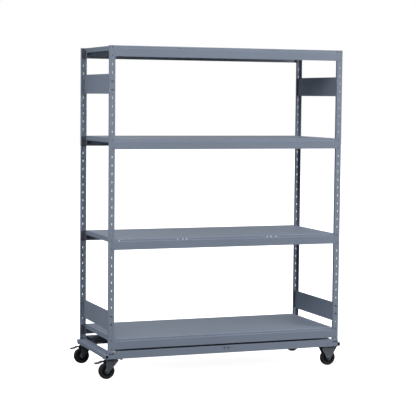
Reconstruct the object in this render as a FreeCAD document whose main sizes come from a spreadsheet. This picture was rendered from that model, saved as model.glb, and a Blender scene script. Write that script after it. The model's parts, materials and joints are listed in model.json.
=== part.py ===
import FreeCAD, Part
import math
import os
import re

import Sketcher

# A mobile four-shelf book cart: slotted steel posts, pan shelves, end panels and a wheeled base.
# Millimetres. X runs along the shelves, Y from front to rear, Z up from the floor.
# Two swivel casters with brake pedals are at the left end and two rigid casters at the right end.

SIZES = {
    # whole frame
    "post_span": 1549.0,         # over the outer sides of the posts
    "frame_depth": 629.0,        # from front post face to rear post face
    "overall_height": 2029.0,    # floor to the top shelf
    "base_height": 127.0,        # floor to the underside of the base
    "frame_shift": 28.5,         # the pedals stick out on the left, so the frame sits to the right
    "slot_pitch": 50.8,
    "joint_gap": 0.3,
    "overcut": 1.0,
    # posts
    "post_web": 36.0,
    "post_flange": 19.0,
    "post_wall": 2.0,
    "slot_width": 3.0,
    "slot_height": 14.0,
    "slot_count": 37.0,
    "first_slot_drop": 10.0,
    "mark_hole_radius": 2.0,
    "mark_hole_inset": 6.0,
    "mark_count": 6.0,
    "mark_start": 2.5,           # in slots
    "mark_step": 6.0,            # in slots
    # shelves
    "shelf_wall": 1.5,
    "shelf_face_height": 66.0,
    "shelf_band_height": 15.0,
    "shelf_step_out": 3.5,
    "shelf_step_fall": 1.5,
    "shelf_return": 12.0,
    "shelf_edge_radius": 5.0,
    "side_lip_height": 29.0,
    "band_hole_radius": 2.5,
    "band_hole_drop": 9.5,
    "band_hole_inner": 271.0,    # three from the middle of the shelf
    "band_hole_middle": 296.0,
    "band_hole_outer": 330.0,
    "band_hole_end": 30.0,       # one from the end of the shelf
    # end panels
    "panel_height": 121.0,
    "panel_wall": 2.0,
    "panel_inset": 25.0,
    "panel_foot": 14.0,
    "upper_panel_middle": 1799.0,
    "lower_panel_middle": 352.0,
    # base
    "beam_wall": 2.5,
    "beam_height": 46.0,
    "beam_flange": 84.0,
    "end_beam_height": 24.0,
    "end_beam_width": 64.0,
    "end_beam_overhang": 18.0,
    "beam_end_notch": 47.0,
    "cross_width": 60.0,
    "cross_bottom": 13.0,
    "cross_top": 43.2,
    "cross_bolt_offset": 13.5,
    "base_bolt_height": 35.0,
    "foot_bolt_inset": 9.0,
    # clips
    "clip_gap": 2.0,
    "clip_tail": 7.0,
    "clip_top": 4.0,
    "hook_width": 2.6,
    "hook_reach": 1.6,
    "hook_rise": 5.0,
    "hook_fall": 6.0,
    "hook_tip_rise": 1.5,
    "hook_tip_fall": 2.5,
    # fasteners
    "frame_bolt_radius": 3.0,
    "frame_hole_radius": 3.3,
    "caster_bolt_radius": 4.0,
    "caster_hole_radius": 4.25,
    "frame_bolt_length": 12.0,
    "frame_bolt_flats": 10.0,
    "frame_head_height": 4.0,
    "frame_nut_height": 5.0,
    "base_bolt_length": 14.0,
    "base_head_height": 3.5,
    "caster_bolt_length": 14.0,
    "caster_bolt_flats": 13.0,
    "caster_head_height": 5.3,
    "caster_nut_height": 6.5,
    "axle_bolt_spare": 9.0,      # past the fork
    "axle_bolt_flats": 16.0,
    "axle_head_height": 6.0,
    "axle_nut_height": 7.5,
    "clip_bolt_depth": 11.0,
    "clip_bolt_drop": 15.0,
    # casters
    "caster_inset": 40.0,        # from the post faces to the middle of a wheel
    "kingpin_inset": 40.0,       # from the left post sides
    "rigid_inset": 53.0,         # from the right post sides
    "plate_length": 114.0,
    "plate_width": 78.0,
    "plate_wall": 3.0,
    "plate_bolt_x": 46.0,
    "plate_bolt_y": 31.0,
    "wheel_radius": 50.0,
    "wheel_width": 30.0,
    "rim_radius": 35.0,
    "rim_width": 28.0,
    "rim_wall": 4.0,
    "hub_radius": 12.0,
    "hub_length": 40.0,
    "hub_web": 8.0,
    "bearing_gap": 0.05,
    "sleeve_radius": 7.0,
    "axle_radius": 5.0,
    "fork_gap": 42.0,
    "fork_wall": 3.0,
    "fork_boss_radius": 16.0,
    "fork_shoulder": 6.0,        # below the crown
    "fork_front_x": 30.0,        # from the kingpin
    "fork_waist_x": 47.0,
    "fork_waist_drop": 50.0,
    "fork_back_x": 50.0,
    "fork_back_high": 14.0,
    "fork_back_low": 34.0,
    "rigid_leg_inset": 2.0,
    "rigid_leg_drop": 9.0,
    "caster_trail": 40.0,
    "crown_top": 10.0,           # below the base underside
    "crown_radius": 31.0,
    "kingpin_radius": 6.0,
    "kingpin_head_radius": 10.0,
    "kingpin_head_height": 3.5,
    "race_radius": 29.0,
    "race_bore_radius": 12.0,
    "race_step": 4.5,
    "race_taper": 2.2,
    "pedal_pivot_x": 43.0,
    "pedal_pivot_drop": 20.0,
    "pedal_pin_radius": 3.0,
    "pedal_eye_radius": 6.0,
    "pedal_width": 40.0,
    "pedal_wall": 3.5,
    "pedal_back": 3.0,           # past the pivot
    "pedal_neck_x": 71.0,        # from the kingpin, as are the next three
    "pedal_bend_x": 92.0,
    "pedal_reach": 115.0,
    "pedal_nose_x": 55.0,
    "pedal_neck_drop": 15.5,     # below the base underside, as are the next three
    "pedal_bend_drop": 23.5,
    "pedal_tip_drop": 26.0,
    "pedal_nose_drop": 26.0,
    "pedal_nose_width": 4.0,
}

SHELVES = {
    "top_shelf": "overall_height",
    "upper_shelf": "overall_height - 11 * slot_pitch",
    "lower_shelf": "overall_height - 23 * slot_pitch",
    "bottom_shelf": "overall_height - 35 * slot_pitch",
}
POST_HEIGHT = "(overall_height - base_height - end_beam_height)"
LEFT_SIDE = "(frame_shift - post_span / 2)"
RIGHT_SIDE = "(frame_shift + post_span / 2)"
FRONT_FACE = "(-frame_depth / 2)"
REAR_FACE = "(frame_depth / 2)"
AXLE_DROP = "(base_height - wheel_radius)"
PANEL_BOLT_SLOTS = {"upper": (4, 5), "lower": (32, 33)}

doc = FreeCAD.newDocument("BookCart")
sheet = doc.addObject("Spreadsheet::Sheet", "Sizes")
for row, (size_name, size_value) in enumerate(SIZES.items(), start=1):
    sheet.set(f"A{row}", size_name)
    sheet.set(f"B{row}", str(size_value))
    sheet.setAlias(f"B{row}", size_name)
doc.recompute()

finished = []


# ---------------------------------------------------------------- helpers

def number(formula):
    """The value of a formula written in the sheet's names."""
    return float(sheet.evalExpression(str(formula)))


def bind(item, prop, formula):
    """Tie a property to a formula written in the sheet's names."""
    item.setExpression(prop, re.sub(r"[a-z][a-z_]+", r"Sizes.\g<0>", str(formula)))


def place(item, x, y, z, half_turn=False):
    """Put a sub-part in the cart, turned half round the vertical if asked."""
    turn = FreeCAD.Rotation(FreeCAD.Vector(0, 0, 1), 180 if half_turn else 0)
    item.Placement = FreeCAD.Placement(FreeCAD.Vector(number(x), number(y), number(z)), turn)
    for axis, formula in zip("xyz", (x, y, z)):
        bind(item, f"Placement.Base.{axis}", formula)


def new_body(name):
    body = doc.addObject("PartDesign::Body", name)
    body.Label = name
    finished.append(body)
    return body


def new_sketch(body, plane, name, offset=None):
    sketch = body.newObject("Sketcher::SketchObject", name)
    support = [item for item in body.Origin.OriginFeatures if item.Role == plane][0]
    sketch.AttachmentSupport = [(support, "")]
    sketch.MapMode = "FlatFace"
    if offset is not None:
        bind(sketch, "AttachmentOffset.Base.z", offset)
    return sketch


def pin_point(sketch, geometry, spot, x, y):
    """Hold a vertex (spot 1 start, 3 centre) at formulas measured from the sketch's origin."""
    for kind, formula in (("DistanceX", x), ("DistanceY", y)):
        rule = Sketcher.Constraint(kind, -1, 1, geometry, spot, number(formula))
        index = sketch.addConstraint(rule)
        bind(sketch, f"Constraints[{index}]", formula)


def outline(sketch, corners):
    """A closed polygon whose corners are pairs of formulas."""
    spots = [FreeCAD.Vector(number(x), number(y), 0) for x, y in corners]
    first = sketch.GeometryCount
    count = len(spots)
    for index in range(count):
        sketch.addGeometry(Part.LineSegment(spots[index], spots[(index + 1) % count]))
    for index, (x, y) in enumerate(corners):
        following = first + (index + 1) % count
        sketch.addConstraint(Sketcher.Constraint("Coincident", first + index, 2, following, 1))
        pin_point(sketch, first + index, 1, x, y)


def rectangle(sketch, low_x, high_x, low_y, high_y):
    outline(sketch, [(low_x, low_y), (high_x, low_y), (high_x, high_y), (low_x, high_y)])


def round_ended_slot(sketch, x, width, low, high):
    """An upright slot: two straight sides joined by half circles."""
    radius = number(width) / 2
    middle, bottom, top = number(x), number(low) + radius, number(high) - radius
    left, right = middle - radius, middle + radius
    upwards = FreeCAD.Vector(0, 0, 1)
    upper = Part.Circle(FreeCAD.Vector(middle, top, 0), upwards, radius)
    lower = Part.Circle(FreeCAD.Vector(middle, bottom, 0), upwards, radius)
    first = sketch.GeometryCount
    half_turn = math.pi
    sketch.addGeometry(Part.ArcOfCircle(upper, 0, half_turn))
    sketch.addGeometry(Part.LineSegment(FreeCAD.Vector(left, top, 0),
                                        FreeCAD.Vector(left, bottom, 0)))
    sketch.addGeometry(Part.ArcOfCircle(lower, half_turn, 2 * half_turn))
    sketch.addGeometry(Part.LineSegment(FreeCAD.Vector(right, bottom, 0),
                                        FreeCAD.Vector(right, top, 0)))
    for step in range(4):
        following = first + (step + 1) % 4
        sketch.addConstraint(Sketcher.Constraint("Tangent", first + step, 2, following, 1))
    radius_index = sketch.addConstraint(Sketcher.Constraint("Radius", first, radius))
    bind(sketch, f"Constraints[{radius_index}]", f"({width}) / 2")
    pin_point(sketch, first, 3, x, f"{high} - ({width}) / 2")
    pin_point(sketch, first + 2, 3, x, f"{low} + ({width}) / 2")


def circles(sketch, radius, centres):
    for x, y in centres:
        centre = FreeCAD.Vector(number(x), number(y), 0)
        geometry = sketch.addGeometry(Part.Circle(centre, FreeCAD.Vector(0, 0, 1), number(radius)))
        index = sketch.addConstraint(Sketcher.Constraint("Radius", geometry, number(radius)))
        bind(sketch, f"Constraints[{index}]", radius)
        pin_point(sketch, geometry, 3, x, y)


def pad(body, sketch, name, length, symmetric=True, reverse=False):
    feature = body.newObject("PartDesign::Pad", name)
    feature.Profile = sketch
    feature.SideType = "Symmetric" if symmetric else "One side"
    feature.Reversed = reverse
    bind(feature, "Length", length)
    return feature


def cut_through(body, sketch, name):
    """A pocket that runs both ways through the whole body."""
    feature = body.newObject("PartDesign::Pocket", name)
    feature.Profile = sketch
    feature.Type = "ThroughAll"
    feature.SideType = "Symmetric"
    return feature


def cut_length(body, sketch, name, length):
    """A pocket of a given length, half of it on each side of its sketch."""
    feature = body.newObject("PartDesign::Pocket", name)
    feature.Profile = sketch
    feature.SideType = "Symmetric"
    bind(feature, "Length", length)
    return feature


def repeat_down(body, feature, sketch, name, length, count):
    """Repeat a feature down the sketch's vertical axis."""
    pattern = body.newObject("PartDesign::LinearPattern", name)
    pattern.Originals = [feature]
    pattern.Direction = (sketch, ["V_Axis"])
    pattern.Reversed = True
    bind(pattern, "Length", length)
    bind(pattern, "Occurrences", count)
    body.Tip = pattern
    return pattern


def round_edges(body, base, name, radius, wanted):
    """Fillet the edges of the base whose middle passes the wanted test."""
    doc.recompute()
    names = []
    for index, edge in enumerate(base.Shape.Edges, start=1):
        if wanted(edge):
            names.append(f"Edge{index}")
    feature = body.newObject("PartDesign::Fillet", name)
    feature.Base = (base, names)
    bind(feature, "Radius", radius)
    return feature


def along(edge, direction):
    """True for a straight edge in the given direction."""
    if len(edge.Vertexes) < 2:
        return False
    run = edge.Vertexes[1].Point - edge.Vertexes[0].Point
    return run.Length > 0 and abs(abs(run.normalize().dot(direction)) - 1) < 1e-6


def cylinder(name, radius, height):
    item = doc.addObject("Part::Cylinder", name)
    bind(item, "Radius", radius)
    bind(item, "Height", height)
    return item


def lay_along_y(item, x, y, z):
    """Turn a primitive's axis from Z to +Y and put its base centre at x, y, z."""
    turn = FreeCAD.Rotation(FreeCAD.Vector(1, 0, 0), -90)
    item.Placement = FreeCAD.Placement(FreeCAD.Vector(number(x), number(y), number(z)), turn)
    for axis, formula in zip("xyz", (x, y, z)):
        bind(item, f"Placement.Base.{axis}", formula)


def hexagon(across_flats, height):
    """A hexagonal prism that stands on the origin."""
    corner = FreeCAD.Vector(across_flats / 3 ** 0.5, 0, 0)
    spots = []
    for step in range(7):
        turn = FreeCAD.Rotation(FreeCAD.Vector(0, 0, 1), 60 * step)
        spots.append(turn.multVec(corner))
    return Part.Face(Part.makePolygon(spots)).extrude(FreeCAD.Vector(0, 0, height))


def bolt_shape(radius, length, across_flats, head_height):
    """A hexagon bolt: its head is below z = 0 and its shank above."""
    head = hexagon(across_flats, head_height)
    head.translate(FreeCAD.Vector(0, 0, -head_height))
    return head.fuse(Part.makeCylinder(radius, length)).removeSplitter()


def nut_shape(radius, across_flats, height):
    return hexagon(across_flats, height).cut(Part.makeCylinder(radius, height))


def group(name, shapes):
    """One sub-part that holds separate solids."""
    item = doc.addObject("Part::Feature", name)
    item.Label = name
    item.Shape = Part.makeCompound(shapes)
    item.Placement = FreeCAD.Placement()
    finished.append(item)


def put(shape, spot, direction):
    """A copy of a shape whose z axis points along a direction at a spot."""
    copy = shape.copy()
    turn = FreeCAD.Rotation(FreeCAD.Vector(0, 0, 1), direction)
    copy.Placement = FreeCAD.Placement(spot, turn)
    return copy


# ---------------------------------------------------------------- posts and shelves

def make_post(name, x, y, half_turn):
    """A C channel, web outwards: a row of slots, bolt holes, and small marks every sixth slot."""
    body = new_body(name)
    profile = new_sketch(body, "XY_Plane", name + "_profile")
    outline(profile, [
        ("0", "0"),
        ("post_web", "0"),
        ("post_web", "post_flange"),
        ("post_web - post_wall", "post_flange"),
        ("post_web - post_wall", "post_wall"),
        ("post_wall", "post_wall"),
        ("post_wall", "post_flange"),
        ("0", "post_flange"),
    ])
    pad(body, profile, name + "_pad", POST_HEIGHT, symmetric=False)

    slot = new_sketch(body, "XZ_Plane", name + "_slot")
    slot_middle = f"{POST_HEIGHT} - first_slot_drop"
    round_ended_slot(slot, "post_web / 2", "slot_width",
                     f"({slot_middle} - slot_height / 2)", f"({slot_middle} + slot_height / 2)")
    first_slot = cut_through(body, slot, name + "_slot_cut")
    repeat_down(body, first_slot, slot, name + "_slots",
                "slot_pitch * (slot_count - 1)", "slot_count")

    mark = new_sketch(body, "XZ_Plane", name + "_mark")
    mark_height = slot_middle + " - mark_start * slot_pitch"
    circles(mark, "mark_hole_radius", [("post_web - mark_hole_inset", mark_height)])
    first_mark = cut_through(body, mark, name + "_mark_cut")
    repeat_down(body, first_mark, mark, name + "_marks",
                "mark_step * slot_pitch * (mark_count - 1)", "mark_count")

    bolted = new_sketch(body, "XZ_Plane", name + "_bolted")
    foot_height = "base_bolt_height - end_beam_height"
    centres = [("foot_bolt_inset", foot_height), ("post_web - foot_bolt_inset", foot_height)]
    centres += [("post_web / 2", f"{slot_middle} - {place_down} * slot_pitch")
                for place_down in PANEL_BOLT_SLOTS["upper"] + PANEL_BOLT_SLOTS["lower"]]
    circles(bolted, "frame_hole_radius", centres)
    cut_through(body, bolted, name + "_bolt_holes")

    side = new_sketch(body, "YZ_Plane", name + "_side")
    base_level = "base_height - end_beam_height - clip_bolt_drop"
    circles(side, "frame_hole_radius",
            [("clip_bolt_depth", f"{top} - {base_level}") for top in SHELVES.values()])
    cut_through(body, side, name + "_side_holes")
    place(body, x, y, "base_height + end_beam_height", half_turn)


def make_shelf(name, top):
    """A pan: flat deck, stepped front and rear flanges with a return, short side lips."""
    body = new_body(name)
    half = "frame_depth / 2"
    band = f"{half} - shelf_step_out"
    length = "(post_span - 2 * post_web - 2 * joint_gap)"
    ledge = "shelf_band_height"
    ledge_low = "(shelf_band_height + shelf_step_fall)"

    def flange(sign):
        """One flange from its return to the deck, the outer side first."""
        outer = [
            (f"{sign} * ({half} - shelf_return)", "-shelf_face_height"),
            (f"{sign} * ({half})", "-shelf_face_height"),
            (f"{sign} * ({half})", f"-{ledge_low}"),
            (f"{sign} * ({band})", f"-{ledge}"),
            (f"{sign} * ({band})", "0"),
        ]
        inner = [
            (f"{sign} * ({band} - shelf_wall)", "-shelf_wall"),
            (f"{sign} * ({band} - shelf_wall)", f"-{ledge} - shelf_wall"),
            (f"{sign} * ({half} - shelf_wall)", f"-{ledge_low} - shelf_wall"),
            (f"{sign} * ({half} - shelf_wall)", "shelf_wall - shelf_face_height"),
            (f"{sign} * ({half} - shelf_return)", "shelf_wall - shelf_face_height"),
        ]
        return outer, inner

    front_outer, front_inner = flange("-1")
    rear_outer, rear_inner = flange("1")
    profile = new_sketch(body, "YZ_Plane", name + "_profile")
    outline(profile, front_outer + rear_outer[::-1] + rear_inner[::-1] + front_inner)
    deck = pad(body, profile, name + "_deck", length)

    long_way = FreeCAD.Vector(1, 0, 0)
    band_y = number(band)
    wall = number("shelf_wall")

    def outer_corner(edge):
        middle = edge.CenterOfMass
        return along(edge, long_way) and abs(middle.z) < 0.01 and abs(abs(middle.y) - band_y) < 0.01

    def inner_corner(edge):
        middle = edge.CenterOfMass
        on_level = abs(middle.z + wall) < 0.01
        return along(edge, long_way) and on_level and abs(abs(middle.y) - band_y + wall) < 0.01

    outside = round_edges(body, deck, name + "_outside", "shelf_edge_radius", outer_corner)
    round_edges(body, outside, name + "_inside", "shelf_edge_radius - shelf_wall", inner_corner)

    lips = new_sketch(body, "XY_Plane", name + "_lips")
    lip_y = f"({band} - shelf_edge_radius)"
    rectangle(lips, f"shelf_wall - {length} / 2", f"-{length} / 2", f"-{lip_y}", lip_y)
    rectangle(lips, f"{length} / 2 - shelf_wall", f"{length} / 2", f"-{lip_y}", lip_y)
    pad(body, lips, name + "_side_lips", "side_lip_height", symmetric=False, reverse=True)

    holes = new_sketch(body, "XZ_Plane", name + "_holes")
    near_post = f"{length} / 2 - band_hole_end"
    places = ["band_hole_inner", "band_hole_middle", "band_hole_outer", near_post]
    centres = [(f"{sign} * ({x})", "-band_hole_drop") for x in places for sign in ("-1", "1")]
    circles(holes, "band_hole_radius", centres)
    cut_through(body, holes, name + "_band_holes")

    corners = new_sketch(body, "YZ_Plane", name + "_corners")
    bolt_y = "(frame_depth / 2 - clip_bolt_depth)"
    circles(corners, "frame_hole_radius",
            [(f"-{bolt_y}", "-clip_bolt_drop"), (bolt_y, "-clip_bolt_drop")])
    cut_through(body, corners, name + "_corner_holes")
    place(body, "frame_shift", "0", top)


def make_panel(side, level):
    """A narrow plate across one end, with a foot at each end that lies against a post's web."""
    name = f"{side}_{level}_panel"
    body = new_body(name)
    reach = "(frame_depth / 2 - post_wall)"
    profile = new_sketch(body, "XY_Plane", name + "_profile")
    outline(profile, [
        ("-panel_foot", f"-{reach}"),
        ("panel_wall", f"-{reach}"),
        ("panel_wall", reach),
        ("-panel_foot", reach),
        ("-panel_foot", f"{reach} - panel_wall"),
        ("0", f"{reach} - panel_wall"),
        ("0", f"panel_wall - {reach}"),
        ("-panel_foot", f"panel_wall - {reach}"),
    ])
    pad(body, profile, name + "_pad", "panel_height")
    holes = new_sketch(body, "XZ_Plane", name + "_holes")
    foot_middle = "post_web / 2 - panel_inset"
    level_formula = f"overall_height - first_slot_drop - {level}_panel_middle"
    circles(holes, "frame_hole_radius",
            [(foot_middle, f"{level_formula} - {slot} * slot_pitch")
             for slot in PANEL_BOLT_SLOTS[level]])
    cut_through(body, holes, name + "_bolt_holes")
    if side == "left":
        place(body, LEFT_SIDE + " + panel_inset", "0", f"{level}_panel_middle")
    else:
        place(body, RIGHT_SIDE + " - panel_inset", "0", f"{level}_panel_middle", half_turn=True)


# ---------------------------------------------------------------- base

def make_long_beam(name, y, half_turn):
    """The front or rear member: a C channel with its web outwards, notched over the end beams."""
    body = new_body(name)
    profile = new_sketch(body, "YZ_Plane", name + "_profile")
    outline(profile, [
        ("-beam_wall", "0"),
        ("beam_flange", "0"),
        ("beam_flange", "beam_wall"),
        ("0", "beam_wall"),
        ("0", "beam_height - beam_wall"),
        ("beam_flange", "beam_height - beam_wall"),
        ("beam_flange", "beam_height"),
        ("-beam_wall", "beam_height"),
    ])
    pad(body, profile, name + "_pad", "post_span")

    notch = new_sketch(body, "XY_Plane", name + "_notch")
    end = "post_span / 2"
    depth = "beam_flange + overcut"
    rectangle(notch, f"-{end} - overcut", f"beam_end_notch - {end}", "0", depth)
    rectangle(notch, f"{end} - beam_end_notch", f"{end} + overcut", "0", depth)
    cut_through(body, notch, name + "_notches")

    holes = new_sketch(body, "XZ_Plane", name + "_holes")
    insets = ["foot_bolt_inset", "post_web - foot_bolt_inset", f"{end} - cross_bolt_offset"]
    centres = [(f"{sign} * ({end} - ({inset}))", "base_bolt_height")
               for inset in insets for sign in ("-1", "1")]
    circles(holes, "frame_hole_radius", centres)
    cut_through(body, holes, name + "_web_holes")

    seats = new_sketch(body, "XY_Plane", name + "_seats")
    left = f"kingpin_inset + plate_bolt_x - {end}"
    right = f"{end} - rigid_inset - plate_bolt_x"
    sign = "-1" if half_turn else "1"
    centres = [(f"{sign} * ({x})", f"caster_inset {way} plate_bolt_y")
               for x in (left, right) for way in ("-", "+")]
    circles(seats, "caster_hole_radius", centres)
    cut_length(body, seats, name + "_caster_holes", "beam_height / 2")
    place(body, "frame_shift", y, "base_height", half_turn)


def make_end_beam(name, x, bolt_inset, half_turn):
    """An end member: a low, wide C channel that runs under the posts and stands out past them."""
    body = new_body(name)
    profile = new_sketch(body, "XZ_Plane", name + "_profile")
    outline(profile, [
        ("0", "0"),
        ("end_beam_width", "0"),
        ("end_beam_width", "beam_wall"),
        ("beam_wall", "beam_wall"),
        ("beam_wall", "end_beam_height - beam_wall"),
        ("end_beam_width", "end_beam_height - beam_wall"),
        ("end_beam_width", "end_beam_height"),
        ("0", "end_beam_height"),
    ])
    pad(body, profile, name + "_pad", "frame_depth")
    seats = new_sketch(body, "XY_Plane", name + "_seats")
    centres = [(bolt_inset, f"{sign} * (frame_depth / 2 - caster_inset {way} plate_bolt_y)")
               for sign in ("-1", "1") for way in ("-", "+")]
    circles(seats, "caster_hole_radius", centres)
    cut_length(body, seats, name + "_caster_holes", "end_beam_height")
    place(body, x, "0", "base_height", half_turn)


def make_cross_member():
    """A channel open downwards that ties the front and rear beams together at the middle."""
    body = new_body("base_cross_member")
    block = new_sketch(body, "XZ_Plane", "cross_block")
    rectangle(block, "-cross_width / 2", "cross_width / 2", "cross_bottom", "cross_top")
    pad(body, block, "cross_pad", "frame_depth")
    inside = new_sketch(body, "XZ_Plane", "cross_inside")
    rectangle(inside, "post_wall - cross_width / 2", "cross_width / 2 - post_wall",
              "cross_bottom - overcut", "cross_top - post_wall")
    cut_length(body, inside, "cross_hollow", "frame_depth - 2 * post_wall")
    holes = new_sketch(body, "XZ_Plane", "cross_holes")
    circles(holes, "frame_hole_radius", [("-cross_bolt_offset", "base_bolt_height"),
                                         ("cross_bolt_offset", "base_bolt_height")])
    cut_through(body, holes, "cross_bolt_holes")
    place(body, "frame_shift", "0", "base_height")


# ---------------------------------------------------------------- clips and fasteners

def corner_frames():
    """Each post corner: its outer spot on the plan, and which way is inwards along X and Y."""
    left, right = number(LEFT_SIDE), number(RIGHT_SIDE)
    front, rear = number(FRONT_FACE), number(REAR_FACE)
    return [(left, front, 1, 1), (right, front, -1, 1), (left, rear, 1, -1), (right, rear, -1, -1)]


def make_clips():
    """Angle clips in the posts: two hooks in the slots and a bolt leg beside the shelf."""
    wall, web, flange = number("post_wall"), number("post_web"), number("post_flange")
    drop, pitch, gap = number("first_slot_drop"), number("slot_pitch"), number("clip_gap")
    low = -drop - pitch - number("clip_tail")
    tall = -low - number("clip_top")
    web_leg = Part.makeBox(web - 2 * wall - gap, wall, tall,
                           FreeCAD.Vector(wall + gap, wall, low))
    side_leg = Part.makeBox(wall, flange - wall - gap / 2, tall,
                            FreeCAD.Vector(web - 2 * wall, wall, low))
    clip = web_leg.fuse(side_leg)
    hook_width, reach = number("hook_width"), number("hook_reach")
    hook_spots = [
        (wall, number("hook_rise")),
        (-reach, number("hook_tip_rise")),
        (-reach, -number("hook_tip_fall")),
        (wall, -number("hook_fall")),
        (wall, number("hook_rise")),
    ]
    for middle in (-drop, -drop - pitch):
        wire = [FreeCAD.Vector((web - hook_width) / 2, y, middle + z) for y, z in hook_spots]
        hook = Part.Face(Part.makePolygon(wire)).extrude(FreeCAD.Vector(hook_width, 0, 0))
        clip = clip.fuse(hook)
    bolt_hole = Part.makeCylinder(
        number("frame_hole_radius"), web,
        FreeCAD.Vector(web - 3 * wall, number("clip_bolt_depth"), -number("clip_bolt_drop")),
        FreeCAD.Vector(1, 0, 0))
    clip = clip.cut(bolt_hole).removeSplitter()
    shapes = []
    for x, y, way_x, way_y in corner_frames():
        for top in SHELVES.values():
            copy = clip.copy()
            if way_x < 0:
                copy = copy.mirror(FreeCAD.Vector(0, 0, 0), FreeCAD.Vector(1, 0, 0))
            if way_y < 0:
                copy = copy.mirror(FreeCAD.Vector(0, 0, 0), FreeCAD.Vector(0, 1, 0))
            copy.translate(FreeCAD.Vector(x, y, number(top)))
            shapes.append(copy)
    group("shelf_clips", shapes)


def make_frame_bolts():
    """Bolts and nuts that hold the shelves to the clips and the panels to the posts."""
    radius = number("frame_bolt_radius")
    flats = number("frame_bolt_flats")
    bolt = bolt_shape(radius, number("frame_bolt_length"), flats, number("frame_head_height"))
    nut = nut_shape(radius, flats, number("frame_nut_height"))
    wall, web = number("post_wall"), number("post_web")
    bolts = []
    nuts = []
    for x, y, way_x, way_y in corner_frames():
        along_x = FreeCAD.Vector(way_x, 0, 0)
        along_y = FreeCAD.Vector(0, way_y, 0)
        shelf_bolt_y = y + way_y * number("clip_bolt_depth")
        head_x = x + way_x * (web - 2 * wall)
        nut_x = x + way_x * (web + number("joint_gap") + number("shelf_wall"))
        for top in SHELVES.values():
            z = number(top) - number("clip_bolt_drop")
            bolts.append(put(bolt, FreeCAD.Vector(head_x, shelf_bolt_y, z), along_x))
            nuts.append(put(nut, FreeCAD.Vector(nut_x, shelf_bolt_y, z), along_x))
        panel_x = x + way_x * web / 2
        nut_y = y + way_y * (wall + number("panel_wall"))
        for slot in PANEL_BOLT_SLOTS["upper"] + PANEL_BOLT_SLOTS["lower"]:
            z = number(f"overall_height - first_slot_drop - {slot} * slot_pitch")
            bolts.append(put(bolt, FreeCAD.Vector(panel_x, y, z), along_y))
            nuts.append(put(nut, FreeCAD.Vector(panel_x, nut_y, z), along_y))
    group("frame_bolts", bolts)
    group("frame_nuts", nuts)


def make_base_bolts():
    """Bolts and nuts through the long beams: two at each post foot and two per cross member end."""
    radius = number("frame_bolt_radius")
    flats = number("frame_bolt_flats")
    bolt = bolt_shape(radius, number("base_bolt_length"), flats, number("base_head_height"))
    nut = nut_shape(radius, flats, number("frame_nut_height"))
    wall, beam_wall = number("post_wall"), number("beam_wall")
    z = number("base_height + base_bolt_height")
    foot, offset = number("foot_bolt_inset"), number("cross_bolt_offset")
    left, right, middle = number(LEFT_SIDE), number(RIGHT_SIDE), number("frame_shift")
    web = number("post_web")
    columns = [left + foot, left + web - foot, middle - offset, middle + offset,
               right - web + foot, right - foot]
    bolts = []
    nuts = []
    for y, way in ((number(FRONT_FACE), 1), (number(REAR_FACE), -1)):
        inwards = FreeCAD.Vector(0, way, 0)
        for x in columns:
            bolts.append(put(bolt, FreeCAD.Vector(x, y - way * beam_wall, z), inwards))
            nuts.append(put(nut, FreeCAD.Vector(x, y + way * wall, z), inwards))
    group("base_bolts", bolts)
    group("base_nuts", nuts)


def caster_spots():
    """Name, plan position and kind of each caster."""
    front = f"{FRONT_FACE} + caster_inset"
    rear = f"{REAR_FACE} - caster_inset"
    swivel_x = LEFT_SIDE + " + kingpin_inset"
    rigid_x = RIGHT_SIDE + " - rigid_inset"
    return [("front_left", swivel_x, front, "swivel"), ("rear_left", swivel_x, rear, "swivel"),
            ("front_right", rigid_x, front, "rigid"), ("rear_right", rigid_x, rear, "rigid")]


def make_caster_bolts():
    """Four bolts through each caster's plate, heads below, and their nuts inside the channels."""
    radius = number("caster_bolt_radius")
    plate = number("plate_wall")
    flats = number("caster_bolt_flats")
    bolt = bolt_shape(radius, number("caster_bolt_length"), flats, number("caster_head_height"))
    nut = nut_shape(radius, flats, number("caster_nut_height"))
    base = number("base_height")
    up = FreeCAD.Vector(0, 0, 1)
    bolts = []
    nuts = []
    for name, x, y, kind in caster_spots():
        for dx in (-number("plate_bolt_x"), number("plate_bolt_x")):
            for dy in (-number("plate_bolt_y"), number("plate_bolt_y")):
                spot = FreeCAD.Vector(number(x) + dx, number(y) + dy, base)
                bolts.append(put(bolt, spot - FreeCAD.Vector(0, 0, plate), up))
                nuts.append(put(nut, spot + FreeCAD.Vector(0, 0, number("beam_wall")), up))
    group("caster_bolts", bolts)
    group("caster_nuts", nuts)


# ---------------------------------------------------------------- casters

PLATE_HOLES = [("-plate_bolt_x", "-plate_bolt_y"), ("plate_bolt_x", "-plate_bolt_y"),
               ("plate_bolt_x", "plate_bolt_y"), ("-plate_bolt_x", "plate_bolt_y")]


def add_plate(body, name):
    """The caster's top plate, its upper face on the base's underside."""
    sketch = new_sketch(body, "XY_Plane", name + "_plate")
    rectangle(sketch, "-plate_length / 2", "plate_length / 2",
              "-plate_width / 2", "plate_width / 2")
    slab = pad(body, sketch, name + "_slab", "plate_wall", symmetric=False, reverse=True)
    upright = FreeCAD.Vector(0, 0, 1)
    return round_edges(body, slab, name + "_corners", "fork_boss_radius / 2",
                       lambda edge: along(edge, upright))


def add_legs(body, name, corners, axle_x):
    """Two legs from a side outline, with a round boss at the axle."""
    side = new_sketch(body, "XZ_Plane", name + "_side")
    outline(side, corners)
    pad(body, side, name + "_legs", "fork_gap + 2 * fork_wall")
    boss = new_sketch(body, "XZ_Plane", name + "_boss")
    circles(boss, "fork_boss_radius", [(axle_x, "-" + AXLE_DROP)])
    pad(body, boss, name + "_boss_pad", "fork_gap + 2 * fork_wall")


def open_legs(body, name, ceiling):
    """Clear the space between the legs, up to a level under the base."""
    gap = new_sketch(body, "YZ_Plane", name + "_gap")
    rectangle(gap, "-fork_gap / 2", "fork_gap / 2", "-base_height", f"-({ceiling})")
    cut_through(body, gap, name + "_opening")


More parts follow.
